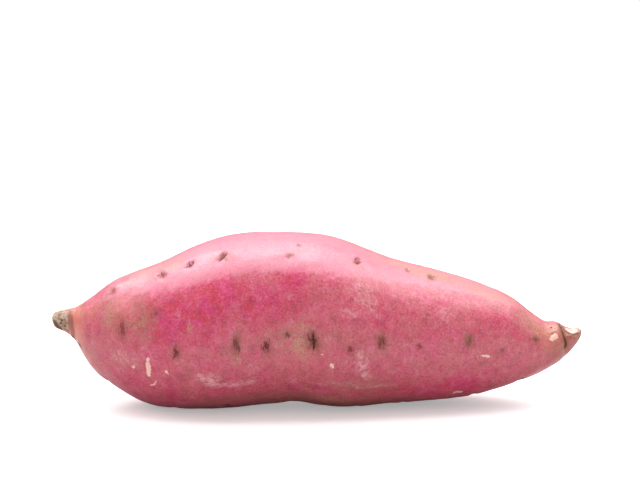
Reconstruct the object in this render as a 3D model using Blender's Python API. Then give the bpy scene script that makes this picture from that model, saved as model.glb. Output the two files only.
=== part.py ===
"""A sweet potato root that lies on its side, modelled as one closed solid in metres, +Z up.

The long axis is X, from the corky stem knob at -X to the hooked tail at +X. Rings of points round
that axis follow the side and plan outlines. Eyes, scars, creases and nubs are then sunk into that
surface or raised from it by formulas, and the lowest places are flat, so that the root lies still.
"""

import math
from dataclasses import dataclass

import bmesh
import bpy
import numpy as np

MM = 0.001

# Driving dimensions
LENGTH = 190 * MM
HEIGHT = 63 * MM
FLAT_DEPTH = 0.5 * MM  # how much of the lowest places the flat spots take off

# Skin
SKIN_COLOUR = (0.60, 0.115, 0.175, 1)
SKIN_ROUGHNESS = 0.42

# Mesh density
RINGS = 240
POINTS_ROUND = 160
PROFILE_SAMPLES = 6000
TRIANGLES = 9600

# Side outline: share of the length from the knob, then the height as a share of HEIGHT
UPPER_EDGE = (
    (0.000, 0.545), (0.030, 0.555), (0.055, 0.582), (0.075, 0.620), (0.115, 0.704),
    (0.155, 0.758), (0.195, 0.810), (0.238, 0.869), (0.283, 0.924), (0.328, 0.967),
    (0.372, 0.988), (0.418, 0.992), (0.464, 0.990), (0.506, 0.978), (0.551, 0.943),
    (0.596, 0.889), (0.642, 0.835), (0.732, 0.763), (0.823, 0.678), (0.868, 0.617),
    (0.914, 0.513), (0.932, 0.480), (0.951, 0.477), (0.963, 0.462), (0.974, 0.447),
    (0.985, 0.442), (1.000, 0.448),
)
LOWER_EDGE = (
    (0.000, 0.448), (0.030, 0.420), (0.046, 0.376), (0.061, 0.300), (0.075, 0.235),
    (0.115, 0.134), (0.169, 0.034), (0.194, 0.008), (0.238, -0.008), (0.325, -0.006),
    (0.415, 0.019), (0.464, 0.030), (0.506, 0.007), (0.551, -0.008), (0.642, 0.010),
    (0.732, 0.026), (0.778, 0.046), (0.823, 0.074), (0.868, 0.117), (0.914, 0.172),
    (0.963, 0.262), (0.985, 0.330), (1.000, 0.392),
)

# Plan outline: where the middle lies in Y as a share of HEIGHT, and the depth over the local height
MIDLINE = (
    (0.00, -0.040), (0.10, -0.025), (0.25, -0.015), (0.45, -0.010), (0.60, 0.030),
    (0.75, 0.035), (0.90, 0.015), (1.00, -0.010),
)
FULLNESS = (
    (0.00, 1.00), (0.06, 1.00), (0.15, 0.97), (0.28, 1.03), (0.42, 0.97),
    (0.56, 1.02), (0.75, 1.05), (0.90, 0.98), (1.00, 1.00),
)

# Knob and tail ends
KNOB_ROUNDING = 4.5 * MM
TAIL_ROUNDING = 1.3 * MM
KNOB_BLUNTNESS = 2.1  # exponent of the end's rounding: 2 is a ball
TAIL_BLUNTNESS = 2.2
KNOB_TURN = math.radians(28)  # how far the knob's end faces the -Y side
KNOB_TURN_SHARE = 0.07  # share of the length over which that turn fades out
KNOB_HOLLOW = 0.9 * MM
KNOB_HOLLOW_RADIUS = 1.7 * MM
RELIEF_LIMIT = 0.3  # no mark is deeper or higher than this share of the local half height

# Cross-section: lobes that run along the root. Each is a wave round it: how many crests, the
# angle of one crest in degrees, its height as a share of the radius, and its twist in turns
LOBES = ((3, 40, 0.012, 0.02), (5, 46, 0.006, -0.02), (7, 20, 0.002, 0.10))


@dataclass(frozen=True)
class Mark:
    """One raised or sunk place.

    share is its place along the length and angle its place round the root in degrees, from the
    -Y side (0) over the top (90). length lies round the root and width along it, in millimetres.
    A negative rise is a dent, and tilt turns the mark in degrees.
    """

    share: float
    angle: float
    length: float
    width: float
    rise: float
    tilt: float = 0.0
    brow: float = 0.0  # height of the lip above a dent, as a share of the dent's depth


def eye(share, angle, length, width, depth, tilt=0.0):
    """A dent with the raised brow that an eye has."""
    return Mark(share, angle, length, width, -depth, tilt, brow=0.45)


# Eyes on the front
FRONT_EYES = (
    eye(0.123, 59, 4.0, 2.0, 0.6),
    eye(0.217, 59, 4.5, 2.0, 0.7, 30),
    eye(0.270, 59, 3.5, 2.4, 0.8),
    eye(0.330, 57, 5.0, 2.0, 0.9, -35),
    eye(0.451, 53, 3.0, 2.2, 0.5),
    eye(0.468, 66, 2.2, 1.6, 0.4),
    eye(0.576, 61, 4.5, 2.2, 1.0, -30),
    eye(0.670, 73, 3.0, 1.6, 0.5),
    eye(0.713, 70, 4.0, 2.0, 0.6),
    eye(0.149, 15, 8.0, 2.6, 1.1, 5),
    eye(0.213, 26, 3.0, 1.8, 0.5),
    eye(0.249, -5, 6.0, 2.2, 1.0),
    eye(0.357, -5, 8.0, 2.0, 0.9),
    eye(0.411, -8, 6.5, 2.4, 1.1),
    eye(0.447, -1, 3.0, 2.0, 0.7),
    eye(0.494, -4, 8.0, 3.0, 1.5),
    eye(0.561, -6, 4.0, 2.6, 1.1),
    eye(0.617, 2, 6.0, 2.4, 1.0),
    eye(0.686, 2, 3.0, 2.0, 0.7),
    eye(0.777, 8, 5.0, 2.0, 0.8),
    eye(0.840, -1, 2.6, 1.8, 0.5),
    eye(0.906, 19, 2.6, 1.8, 0.5),
    eye(0.761, -51, 3.0, 2.0, 0.5),
    eye(0.487, -41, 4.0, 3.0, 0.5),
)

# Rows of eyes on the hidden sides: angle, first share, number of eyes
HIDDEN_ROWS = ((112, 0.16, 9), (158, 0.12, 11), (205, 0.15, 10), (250, 0.20, 9), (292, 0.13, 8))
HIDDEN_LAST_SHARE = 0.90
HIDDEN_SEED = 7
STREW_SHARE = 0.02  # how far an eye may lie from its place in the row
STREW_ANGLE = 9
HIDDEN_LENGTHS = (3.0, 7.0)
HIDDEN_WIDTHS = (1.8, 2.8)
HIDDEN_DEPTHS = (0.5, 1.2)
HIDDEN_TILT = 25

# Scars, scrapes and nubs
SCARS = (
    Mark(0.196, -17, 7.0, 1.6, -0.4),  # scraped stripe
    Mark(0.810, -7, 1.4, 4.0, -0.3),  # nick along the root
    Mark(0.946, 33, 5.0, 1.8, 0.7),  # knobbly scar at the tail
    Mark(0.937, 20, 2.0, 1.4, 0.4),
    Mark(0.981, 68, 3.8, 5.0, -1.1),  # scooped break on top of the hooked tail
    Mark(0.041, -50, 2.2, 2.0, 0.6),  # nubs under the neck
    Mark(0.059, -31, 2.4, 2.0, 0.5),
    Mark(0.047, 140, 3.0, 2.0, 0.5),
)

# Broad swells and hollows, which keep the form from looking turned
SWELLS = (
    Mark(0.145, 78, 26, 17, 0.7),
    Mark(0.205, 100, 30, 16, -0.4),
    Mark(0.300, 70, 34, 30, 0.4),
    Mark(0.270, -28, 30, 44, 0.5),
    Mark(0.410, 18, 26, 40, -0.4),
    Mark(0.520, 40, 22, 50, 0.5),
    Mark(0.620, -30, 24, 46, 0.4),
    Mark(0.690, 64, 20, 30, -0.4),
    Mark(0.820, 30, 18, 26, 0.4),
    Mark(0.350, 150, 40, 50, 0.6),
    Mark(0.500, 190, 36, 30, -0.6),
    Mark(0.640, 160, 34, 44, 0.5),
    Mark(0.200, 200, 34, 36, -0.4),
    Mark(0.760, 215, 26, 40, 0.5),
    Mark(0.860, 130, 16, 24, -0.4),
    Mark(0.420, 235, 30, 40, 0.4),
)

# Creases across the root: share, middle angle, half-span in degrees, width and depth in millimetres
CREASES = (
    (0.048, 60, 110, 1.6, 0.35),  # below the knob's collar
    (0.966, 15, 75, 1.5, 0.60),  # where the hook bends up
    (0.085, 20, 60, 3.0, 0.35),
)


def smooth_through(stations, shares):
    """A smooth curve through (share, value) stations, read at every one of the shares."""
    knots, values = np.array(stations).T
    slopes = np.gradient(values, knots)
    after = np.clip(np.searchsorted(knots, shares, side="right"), 1, len(knots) - 1)
    before = after - 1
    span = knots[after] - knots[before]
    t = (shares - knots[before]) / span
    return (
        (2 * t**3 - 3 * t**2 + 1) * values[before]
        + (t**3 - 2 * t**2 + t) * span * slopes[before]
        + (3 * t**2 - 2 * t**3) * values[after]
        + (t**3 - t**2) * span * slopes[after]
    )


def end_rounding(distance, reach, bluntness):
    """How much of its full size the root has at a distance from one of its ends."""
    left = np.clip(1 - distance / reach, 0, 1)
    return (1 - left**bluntness) ** (1 / bluntness)


def section_scale(shares):
    """The share of its outline that each ring fills: less than 1 only at the two ends."""
    return end_rounding(shares * LENGTH, KNOB_ROUNDING, KNOB_BLUNTNESS) * end_rounding(
        (1 - shares) * LENGTH, TAIL_ROUNDING, TAIL_BLUNTNESS
    )


def ring_shares():
    """Places along the length for the rings, evenly spaced over the surface from end to end."""
    fine = (1 - np.cos(np.linspace(0, math.pi, PROFILE_SAMPLES))) / 2
    radius = half_height(fine) * section_scale(fine)
    steps = np.hypot(np.diff(fine) * LENGTH, np.diff(radius))
    travelled = np.concatenate([[0], np.cumsum(steps)])
    return np.interp(np.linspace(0, travelled[-1], RINGS + 2)[1:-1], travelled, fine)


def half_height(shares):
    """Half of the local height."""
    return (smooth_through(UPPER_EDGE, shares) - smooth_through(LOWER_EDGE, shares)) * HEIGHT / 2


def bell(distance):
    """A smooth bump: 1 in the middle and almost nothing at twice the unit distance."""
    return np.exp(-(distance**2))


def mark_relief(mark, shares, angles, radii):
    """How far one mark raises each point of the surface."""
    along = (shares - mark.share) * LENGTH / MM
    turned = (angles - math.radians(mark.angle) + math.pi) % (2 * math.pi) - math.pi
    around = turned * radii / MM
    tilt = math.radians(mark.tilt)
    across = along * math.cos(tilt) + around * math.sin(tilt)
    lengthwise = around * math.cos(tilt) - along * math.sin(tilt)
    half_length = mark.length / 2
    half_width = mark.width / 2
    shape = bell(np.hypot(across / half_width, lengthwise / half_length))
    lip = bell(np.hypot(across / (1.5 * mark.width), (lengthwise - half_length) / half_length))
    return mark.rise * MM * (shape - mark.brow * lip)


def crease_relief(crease, shares, angles):
    """How far one crease across the root lowers each point of the surface."""
    share, middle, half_span, width, depth = crease
    along = (shares - share) * LENGTH / (width * MM / 2)
    turned = (angles - math.radians(middle) + math.pi) % (2 * math.pi) - math.pi
    return -depth * MM * bell(along) * bell(turned / math.radians(half_span))


def hidden_eyes():
    """The eyes of the rows on the back, top and underside, strewn a little off their rows."""
    rng = np.random.default_rng(HIDDEN_SEED)
    eyes = []
    for row_angle, first, count in HIDDEN_ROWS:
        for row_share in np.linspace(first, HIDDEN_LAST_SHARE, count):
            share = row_share + rng.uniform(-STREW_SHARE, STREW_SHARE)
            angle = row_angle + rng.uniform(-STREW_ANGLE, STREW_ANGLE)
            sizes = [rng.uniform(*limits) for limits in (HIDDEN_LENGTHS, HIDDEN_WIDTHS, HIDDEN_DEPTHS)]
            eyes.append(eye(share, angle, *sizes, rng.uniform(-HIDDEN_TILT, HIDDEN_TILT)))
    return eyes


def lobed_ring(shares, angles):
    """Cosine and sine of every point of every ring, swelled by the lobes and stretched back to +-1."""
    swell = 1.0
    for count, crest, size, twist in LOBES:
        turned = angles - math.radians(crest) - twist * 2 * math.pi * shares
        swell = swell + size * np.cos(count * turned)
    across = swell * -np.cos(angles)
    up = swell * np.sin(angles)
    return [
        2 * (part - part.min(axis=1, keepdims=True)) / np.ptp(part, axis=1)[:, None] - 1
        for part in (across, up)
    ]


def surface_points():
    """The points of all rings as an array of rings by points by X, Y, Z, and the two end points."""
    shares = ring_shares()[:, None]
    angles = np.linspace(0, 2 * math.pi, POINTS_ROUND, endpoint=False)[None, :]
    tall = half_height(shares) * section_scale(shares)
    deep = tall * smooth_through(FULLNESS, shares)
    middle_z = (smooth_through(UPPER_EDGE, shares) + smooth_through(LOWER_EDGE, shares)) * HEIGHT / 2
    middle_y = smooth_through(MIDLINE, shares) * HEIGHT
    across, up = lobed_ring(shares, angles)

    relief = np.zeros(np.broadcast(shares, angles).shape)
    for mark in (*SWELLS, *FRONT_EYES, *hidden_eyes(), *SCARS):
        relief += mark_relief(mark, shares, angles, tall)
    for crease in CREASES:
        relief += crease_relief(crease, shares, angles)
    relief = np.clip(relief, -RELIEF_LIMIT * tall, RELIEF_LIMIT * tall)

    y = across * deep - relief * np.cos(angles)
    z = up * tall + relief * np.sin(angles)
    turn = math.tan(KNOB_TURN) * np.clip(1 - shares / KNOB_TURN_SHARE, 0, 1) ** 2
    hollow = KNOB_HOLLOW * bell(np.hypot(y, z) / KNOB_HOLLOW_RADIUS) * bell(shares * LENGTH / KNOB_ROUNDING)
    x = shares * LENGTH - y * turn + hollow
    rings = np.stack([x, y + middle_y, z + middle_z], axis=-1)
    ends = [rings[0].mean(axis=0), rings[-1].mean(axis=0)]
    return rings, ends


def placed(rings, ends):
    """The same points at their true length, with the box centred on X and Y and the ground at Z 0."""
    everything = np.concatenate([rings.reshape(-1, 3), ends])
    low, high = everything.min(axis=0), everything.max(axis=0)
    stretch = np.array([LENGTH / (high[0] - low[0]), 1, 1])
    origin = np.array([(low[0] + high[0]) / 2, (low[1] + high[1]) / 2, low[2] + FLAT_DEPTH])
    return (everything - origin) * stretch


def skin_faces():
    """Four-sided faces between the rings and three-sided ones round each end, all facing outwards."""
    first_end = RINGS * POINTS_ROUND
    faces = []
    for here in range(POINTS_ROUND):
        beside = (here + 1) % POINTS_ROUND
        for start in range(0, (RINGS - 1) * POINTS_ROUND, POINTS_ROUND):
            following = start + POINTS_ROUND
            faces.append((start + here, start + beside, following + beside, following + here))
        faces.append((first_end, beside, here))
        last = first_end - POINTS_ROUND
        faces.append((first_end + 1, last + here, last + beside))
    return faces


def fine_mesh():
    """The whole surface before it is thinned out and cut flat underneath."""
    mesh = bpy.data.meshes.new("fine_skin")
    mesh.from_pydata(placed(*surface_points()).tolist(), [], skin_faces())
    return mesh


def thinned(mesh):
    """A copy of the mesh with about TRIANGLES triangles, kept where the surface bends most."""
    helper = bpy.data.objects.new("fine_skin", mesh)
    bpy.context.scene.collection.objects.link(helper)
    budget = helper.modifiers.new("Triangle budget", "DECIMATE")
    budget.ratio = TRIANGLES / (2 * RINGS * POINTS_ROUND)
    graph = bpy.context.evaluated_depsgraph_get()
    result = bpy.data.meshes.new_from_object(helper.evaluated_get(graph))
    bpy.data.objects.remove(helper)
    bpy.data.meshes.remove(mesh)
    return result


def cut_flat_spots(mesh):
    """Cuts off what lies below Z 0 and closes each cut with one flat face."""
    bm = bmesh.new()
    bm.from_mesh(mesh)
    everything = bm.verts[:] + bm.edges[:] + bm.faces[:]
    cut = bmesh.ops.bisect_plane(bm, geom=everything, plane_no=(0, 0, -1), clear_outer=True)
    rims = [item for item in cut["geom_cut"] if isinstance(item, bmesh.types.BMEdge)]
    bmesh.ops.edgeloop_fill(bm, edges=rims)
    bmesh.ops.recalc_face_normals(bm, faces=bm.faces)
    bm.to_mesh(mesh)
    bm.free()


def skin_material():
    """Satin, magenta-pink skin."""
    material = bpy.data.materials.new("Sweet potato skin")
    material.use_nodes = True
    shader = material.node_tree.nodes["Principled BSDF"]
    shader.inputs["Base Color"].default_value = SKIN_COLOUR
    shader.inputs["Roughness"].default_value = SKIN_ROUGHNESS
    shader.inputs["Metallic"].default_value = 0.0
    return material


def build_sweet_potato():
    """Adds the finished root to the scene."""
    mesh = thinned(fine_mesh())
    cut_flat_spots(mesh)
    mesh.name = "sweet_potato"
    mesh.materials.append(skin_material())
    mesh.shade_smooth()
    root = bpy.data.objects.new("sweet_potato", mesh)
    bpy.context.scene.collection.objects.link(root)
    return root


def main():
    """Clears the scene and builds the root."""
    for item in list(bpy.data.objects):
        bpy.data.objects.remove(item)
    build_sweet_potato()


if __name__ == "__main__":
    main()
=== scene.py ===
"""A sweet potato root on a white floor, dressed round its CAD solid.

The root is one piece. Its mesh starts as a ball whose rings are laid along the root's own outlines.
Eyes, scars, cracks, cork and fine skin relief are then raised from it or sunk into it. The same
lists of marks and patches are written onto the mesh as named fields, and one skin finish reads them.
All sizes are in metres unless a name or docstring says millimetres, and +Z is up.
"""

from __future__ import annotations

import logging
import math
from dataclasses import dataclass
from enum import Enum
from typing import Any

import bpy
import numpy as np
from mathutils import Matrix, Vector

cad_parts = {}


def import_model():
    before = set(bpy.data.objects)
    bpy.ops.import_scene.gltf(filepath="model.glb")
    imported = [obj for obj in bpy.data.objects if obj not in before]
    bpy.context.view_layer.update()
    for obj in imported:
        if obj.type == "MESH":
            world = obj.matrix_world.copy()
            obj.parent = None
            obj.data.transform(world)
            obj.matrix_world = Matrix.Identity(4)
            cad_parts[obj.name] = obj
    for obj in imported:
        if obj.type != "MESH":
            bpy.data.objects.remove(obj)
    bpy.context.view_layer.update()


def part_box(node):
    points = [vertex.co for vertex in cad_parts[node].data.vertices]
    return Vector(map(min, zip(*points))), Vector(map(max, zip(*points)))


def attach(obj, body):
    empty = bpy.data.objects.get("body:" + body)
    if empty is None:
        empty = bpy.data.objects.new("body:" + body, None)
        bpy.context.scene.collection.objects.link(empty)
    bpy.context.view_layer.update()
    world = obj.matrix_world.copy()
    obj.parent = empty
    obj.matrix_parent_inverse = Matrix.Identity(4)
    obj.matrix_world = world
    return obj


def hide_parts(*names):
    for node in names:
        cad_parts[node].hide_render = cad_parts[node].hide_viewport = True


LOG = logging.getLogger("sweet_potato")

MM = 0.001
FULL_TURN = 2 * math.pi
NODE = "sweet_potato"
BODY = "root"

Stations = tuple[tuple[float, float], ...]
Colour = tuple[float, float, float]


class Tint(Enum):
    """The named fields on the mesh that say where the skin changes its colour."""

    MAGENTA = "magenta"
    # Pale freckles, which along the top are partly painted highlight.
    BLOOM = "freckles_and_highlight"
    SCUFF = "scuff"
    TAN = "tan"
    SMUDGE = "smudge"
    EARTH = "earth"
    SALMON = "salmon"
    RUST = "rust"
    CORK = "cork"
    FLESH = "flesh"
    # Dark marks and painted shade: the knob's holes and the fold behind the tail's hook are darkened by it.
    DARK_AND_SHADE = "dark_and_shade"
    FLECK = "fleck"
    # Painted highlight: a pale band over the top that stands in for the softbox's glare.
    PAINTED_HIGHLIGHT = "painted_highlight"


@dataclass(frozen=True)
class Mark:
    """One raised or sunk place.

    share is its place along the length and angle its place round the root in degrees, from the
    -Y side (0) over the top (90). length lies round the root and width along it, in millimetres.
    A negative rise is a dent, and tilt turns the mark in degrees.
    """

    share: float
    angle: float
    length: float
    width: float
    rise: float
    tilt: float = 0.0
    brow: float = 0.0

    def lie(self, shares: np.ndarray, angles: np.ndarray, radii: np.ndarray, span: float) -> tuple[np.ndarray, np.ndarray]:
        """Where every point lies in the mark's own frame.

        Args:
            shares: places of the points along the length.
            angles: their places round the root, in radians.
            radii: the local half height, in metres.
            span: the length of the whole root, in metres.

        Returns:
            The distance across the mark and the distance along its long side, in millimetres.
        """
        along = (shares - self.share) * span / MM
        turned = (angles - math.radians(self.angle) + math.pi) % FULL_TURN - math.pi
        around = turned * radii / MM
        tilt = math.radians(self.tilt)
        across = along * math.cos(tilt) + around * math.sin(tilt)
        lengthwise = around * math.cos(tilt) - along * math.sin(tilt)
        return across, lengthwise


@dataclass(frozen=True)
class Eye(Mark):
    """A dent with a raised brow, a dark slit and a tan halo.

    dark, halo and rust run from 0 to 1: how dark the slit is, how much tan lies round it, and how
    far its brown turns to red.
    """

    dark: float = 0.5
    halo: float = 0.4
    rust: float = 0.4


@dataclass(frozen=True)
class Patch:
    """One place where a tint lies: its middle, its size along and round the root in millimetres."""

    tint: Tint
    share: float
    angle: float
    along: float
    around: float
    strength: float = 1.0
    tilt: float = 0.0


@dataclass(frozen=True)
class Stroke:
    """A thin line on the skin, such as a crack, a rim, a scratch, or a dark line of painted shade along a fold.

    path holds pairs of share and angle. width and depth, which is how far the line is cut in, are in
    millimetres.
    """

    tint: Tint
    path: Stations
    width: float
    strength: float = 1.0
    depth: float = 0.0

    def away(self, shares: np.ndarray, angles: np.ndarray, radii: np.ndarray, span: float) -> np.ndarray:
        """How far every point lies from the line.

        Args:
            shares: places of the points along the length.
            angles: their places round the root, in radians.
            radii: the local half height, in metres.
            span: the length of the whole root, in metres.

        Returns:
            The distance as a multiple of half the line's width.
        """
        nearest = np.full(np.broadcast(shares, angles).shape, np.inf)
        for (share, angle), (next_share, next_angle) in zip(self.path, self.path[1:]):
            along = (shares - share) * span / MM
            turned = (angles - math.radians(angle) + math.pi) % FULL_TURN - math.pi
            around = turned * radii / MM
            run = (next_share - share) * span / MM
            climb = math.radians(next_angle - angle) * radii / MM
            done = np.clip((along * run + around * climb) / (run**2 + climb**2), 0, 1)
            nearest = np.minimum(nearest, np.hypot(along - done * run, around - done * climb))
        return nearest / (self.width / 2)


def eye(
    share: float,
    angle: float,
    length: float,
    width: float,
    depth: float,
    tilt: float = 0.0,
    dark: float = 0.5,
    halo: float = 0.4,
    rust: float = 0.4,
) -> Eye:
    """An eye from its place, its size and depth in millimetres, and its colouring.

    Args:
        share: place along the length.
        angle: place round the root in degrees.
        length: size round the root.
        width: size along the root.
        depth: depth of the dent.
        tilt: turn in degrees.
        dark: darkness of the slit.
        halo: amount of tan round it.
        rust: redness of the slit.

    Returns:
        The eye.
    """
    return Eye(share, angle, length, width, -depth, tilt, 0.45, dark, halo, rust)


FRONT_EYES = (
    eye(0.123, 59, 4.0, 2.0, 0.6, 0, 0.35, 0.55, 0.7),
    eye(0.217, 59, 4.5, 2.0, 0.7, 30, 0.60, 0.45, 0.5),
    eye(0.270, 59, 3.5, 2.4, 0.8, 0, 0.85, 0.35, 0.3),
    eye(0.330, 57, 5.0, 2.0, 0.9, -35, 0.85, 0.60, 0.3),
    eye(0.451, 53, 3.0, 2.2, 0.5, 0, 0.35, 0.25, 0.1),
    eye(0.468, 66, 2.2, 1.6, 0.4, 0, 0.50, 0.20, 0.8),
    eye(0.576, 61, 4.5, 2.2, 1.0, -30, 0.80, 0.25, 0.4),
    eye(0.670, 73, 3.0, 1.6, 0.5, 0, 0.40, 0.30, 0.4),
    eye(0.713, 70, 4.0, 2.0, 0.6, 0, 0.55, 0.70, 0.2),
    eye(0.149, 15, 8.0, 2.6, 1.1, 5, 0.60, 0.35, 0.8),
    eye(0.213, 26, 3.0, 1.8, 0.5, 0, 0.40, 0.35, 0.5),
    eye(0.249, -5, 6.0, 2.2, 1.0, 0, 0.75, 0.50, 0.6),
    eye(0.357, -5, 8.0, 2.0, 0.9, 0, 0.65, 0.70, 0.2),
    eye(0.411, -8, 6.5, 2.4, 1.1, 0, 0.90, 0.45, 0.3),
    eye(0.447, -1, 3.0, 2.0, 0.7, 0, 0.65, 0.30, 0.3),
    eye(0.494, -4, 8.0, 3.0, 1.5, 0, 1.00, 0.85, 0.1),
    eye(0.561, -6, 4.0, 2.6, 1.1, 0, 0.65, 0.30, 0.9),
    eye(0.617, 2, 6.0, 2.4, 1.0, 0, 0.65, 0.90, 0.5),
    eye(0.686, 2, 3.0, 2.0, 0.7, 0, 0.40, 0.10, 1.0),
    eye(0.777, 8, 5.0, 2.0, 0.8, 0, 0.35, 1.00, 0.3),
    eye(0.840, -1, 2.6, 1.8, 0.5, 0, 0.40, 0.20, 0.6),
    eye(0.906, 19, 2.6, 1.8, 0.5, 0, 0.45, 0.60, 0.9),
    eye(0.761, -51, 3.0, 2.0, 0.5, 0, 0.10, 0.30, 0.5),
    eye(0.487, -41, 4.0, 3.0, 0.5, 0, 0.15, 0.00, 1.0),
)

SCARS = (
    Mark(0.196, -17, 7.0, 1.6, -0.4),
    Mark(0.810, -7, 1.4, 4.0, -0.3),
    Mark(0.946, 33, 5.0, 1.8, 0.7),
    Mark(0.937, 20, 2.0, 1.4, 0.4),
    Mark(0.981, 68, 3.8, 5.0, -1.1),
    Mark(0.041, -50, 2.2, 2.0, 0.6),
    Mark(0.059, -31, 2.4, 2.0, 0.5),
    Mark(0.047, 140, 3.0, 2.0, 0.5),
)

FINE_SCARS = (
    # Holes and nicks of the knob
    Mark(0.0195, 10, 1.4, 1.0, -0.6),
    Mark(0.0170, -7, 1.0, 0.9, -0.5),
    Mark(0.0255, -20, 1.0, 0.9, -0.4),
    Mark(0.0240, 34, 1.0, 0.8, -0.3),
    Mark(0.0120, 45, 1.2, 0.8, -0.3),
    Mark(0.0160, 120, 1.2, 0.8, -0.5),
    Mark(0.0200, 200, 1.4, 0.8, -0.5),
    # Flesh blob and nicks of the lower left
    Mark(0.196, -8.5, 1.8, 1.9, 0.35),
    Mark(0.528, -19, 1.6, 1.4, -0.25),
    Mark(0.510, -12, 1.0, 1.0, -0.15),
    Mark(0.230, -19, 1.4, 0.9, -0.15),
    # Lumps of the scar near the tail
    Mark(0.9430, 24, 1.5, 1.2, 0.40),
    Mark(0.9390, 30, 1.3, 1.1, 0.35),
    Mark(0.9465, 30, 1.2, 1.0, 0.35),
    Mark(0.9440, 44, 1.6, 1.2, 0.30),
    Mark(0.9400, 58, 1.6, 1.4, 0.30),
    # Raised front rim of the scoop
    Mark(0.9810, 32, 1.0, 5.0, 0.25),
)

SWELLS = (
    Mark(0.145, 78, 26, 17, 0.7),
    Mark(0.205, 100, 30, 16, -0.4),
    Mark(0.300, 70, 34, 30, 0.4),
    Mark(0.270, -28, 30, 44, 0.5),
    Mark(0.410, 18, 26, 40, -0.4),
    Mark(0.520, 40, 22, 50, 0.5),
    Mark(0.620, -30, 24, 46, 0.4),
    Mark(0.690, 64, 20, 30, -0.4),
    Mark(0.820, 30, 18, 26, 0.4),
    Mark(0.350, 150, 40, 50, 0.6),
    Mark(0.500, 190, 36, 30, -0.6),
    Mark(0.640, 160, 34, 44, 0.5),
    Mark(0.200, 200, 34, 36, -0.4),
    Mark(0.760, 215, 26, 40, 0.5),
    Mark(0.860, 130, 16, 24, -0.4),
    Mark(0.420, 235, 30, 40, 0.4),
)


@dataclass(frozen=True)
class Crease:
    """A groove across the root: its middle, half its span in degrees, its width and depth in mm.

    slant is how far its share moves over one half-span.
    """

    share: float
    angle: float
    half_span: float
    width: float
    depth: float
    slant: float = 0.0


CREASES = (
    Crease(0.048, 60, 110, 1.6, 0.35),
    Crease(0.966, 15, 75, 1.5, 0.60),
    Crease(0.085, 20, 60, 3.0, 0.35),
)

FINE_CREASES = (
    Crease(0.0355, 10, 70, 0.9, 0.35),
    Crease(0.0440, 30, 60, 0.8, 0.15, 0.001),
    Crease(0.0560, 40, 50, 1.0, 0.12, 0.002),
    Crease(0.0660, 20, 45, 1.0, 0.10, -0.002),
    Crease(0.9540, 10, 50, 1.0, 0.12, 0.002),
    Crease(0.9720, 0, 60, 0.9, 0.14, 0.002),
    Crease(0.9830, -10, 70, 0.8, 0.12, -0.002),
)

STROKES = (
    # Dark line in the fold behind the tail's hook: painted shade of the fold, over a groove cut along it. Also the
    # scoop's front rim
    Stroke(Tint.DARK_AND_SHADE, ((0.9570, 82), (0.9595, 52), (0.962, 32), (0.965, 17), (0.967, 0), (0.9655, -12)), 0.8, 1.0, 0.5),
    Stroke(Tint.RUST, ((0.9575, 80), (0.960, 52), (0.963, 30), (0.966, 12), (0.9665, -14)), 2.4, 0.85),
    Stroke(Tint.DARK_AND_SHADE, ((0.9600, 72), (0.966, 60), (0.9735, 44), (0.981, 35), (0.990, 30)), 0.6, 0.9, 0.15),
    Stroke(Tint.RUST, ((0.966, 54), (0.972, 38), (0.976, 22)), 1.4, 0.7, 0.12),
    Stroke(Tint.DARK_AND_SHADE, ((0.9720, 36), (0.9750, 26), (0.9770, 18)), 0.5, 0.5, 0.1),
    # Under the knob and round its neck
    Stroke(Tint.DARK_AND_SHADE, ((0.0040, -20), (0.0080, -42), (0.0170, -54)), 2.0, 0.9),
    Stroke(Tint.RUST, ((0.0400, 58), (0.0385, 30), (0.0400, 4), (0.0430, -22), (0.0450, -40)), 2.2, 1.0),
    Stroke(Tint.RUST, ((0.0340, 44), (0.0370, 52), (0.0420, 48)), 1.4, 0.9),
    Stroke(Tint.RUST, ((0.0400, 100), (0.0410, 150), (0.0390, 200), (0.0410, 260)), 2.2, 0.8),
    Stroke(Tint.RUST, ((0.0620, 66), (0.0660, 72), (0.0720, 64)), 1.6, 0.55),
    Stroke(Tint.SMUDGE, ((0.0420, -46), (0.0500, -42), (0.0600, -34)), 1.8, 0.9),
    # Bare stripe of the lower left, with its tails
    Stroke(Tint.FLESH, ((0.1955, -12), (0.1970, -16), (0.1965, -22)), 1.8, 0.8),
    Stroke(Tint.DARK_AND_SHADE, ((0.1995, -12), (0.2005, -18), (0.1995, -24)), 0.6, 0.45),
    Stroke(Tint.DARK_AND_SHADE, ((0.1930, -4), (0.1935, -7)), 0.5, 0.6),
    Stroke(Tint.FLESH, ((0.2000, -32), (0.2060, -30), (0.2100, -27)), 0.9, 0.65),
    # Scratches and brushed streaks
    Stroke(Tint.SCUFF, ((0.290, -24), (0.310, -31), (0.345, -34), (0.385, -34)), 2.6, 0.75),
    Stroke(Tint.SCUFF, ((0.585, 34), (0.592, 30), (0.602, 22)), 1.0, 0.6),
    Stroke(Tint.SCUFF, ((0.600, 38), (0.604, 30), (0.608, 20)), 0.9, 0.6),
    Stroke(Tint.SCUFF, ((0.545, 20), (0.557, 17), (0.575, 20)), 1.2, 0.6),
    Stroke(Tint.SCUFF, ((0.575, -8), (0.582, -18), (0.590, -26)), 3.2, 0.7),
    Stroke(Tint.SCUFF, ((0.140, -6), (0.155, -12), (0.172, -14)), 1.6, 0.6),
    Stroke(Tint.SCUFF, ((0.530, -33), (0.580, -36), (0.640, -33)), 1.4, 0.5),
    Stroke(Tint.RUST, ((0.576, 61), (0.580, 58), (0.586, 54)), 0.7, 0.7),
    Stroke(Tint.RUST, ((0.329, 62), (0.335, 58), (0.337, 52)), 0.8, 0.7),
)

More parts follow.
